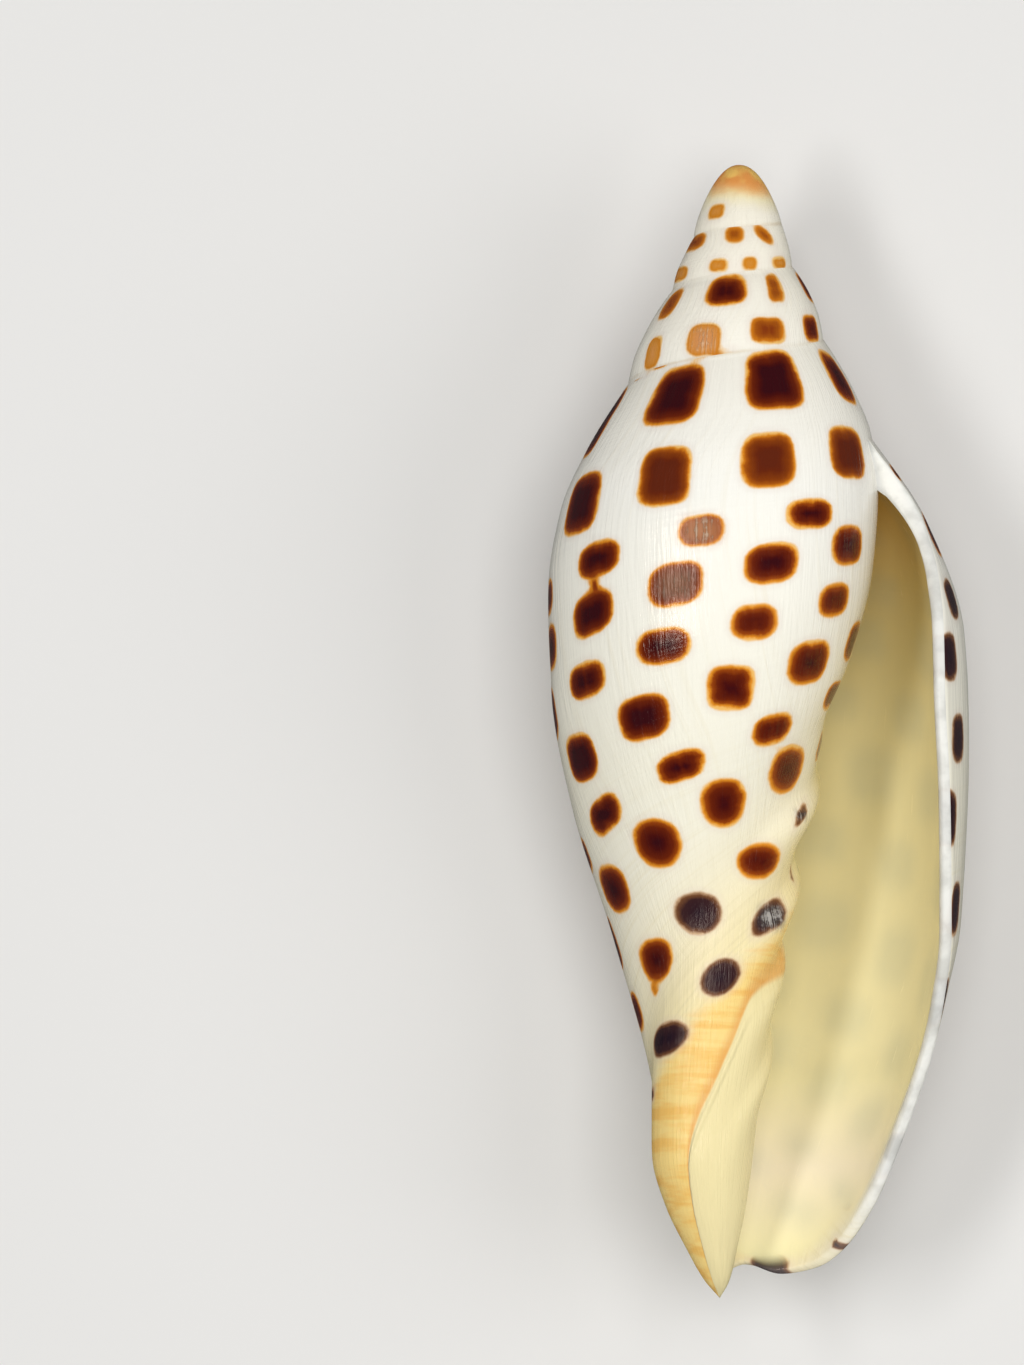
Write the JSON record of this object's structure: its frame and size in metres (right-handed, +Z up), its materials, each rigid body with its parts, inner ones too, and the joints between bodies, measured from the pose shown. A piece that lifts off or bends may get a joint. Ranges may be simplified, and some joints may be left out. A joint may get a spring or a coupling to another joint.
{
  "type": "volute seashell",
  "caption": "Spindle-shaped volute seashell with a short coiled spire, a long narrow opening, a folded pillar and rows of dark rounded spots on a cream ground.",
  "frame": {"origin": "centre of the shell's outline seen from above, on the plane that it rests on", "axes": "+Y along the coiling axis towards the apex, +X towards the lip, +Z up, the way the opening faces"},
  "size_m": [0.0402, 0.1078, 0.0345],
  "materials": {
    "porcelain_cream": "glossy, like glazed porcelain, with fine growth lines"
  },
  "bodies": {
    "root": {"shell": "porcelain_cream"}
  },
  "joints": []
}
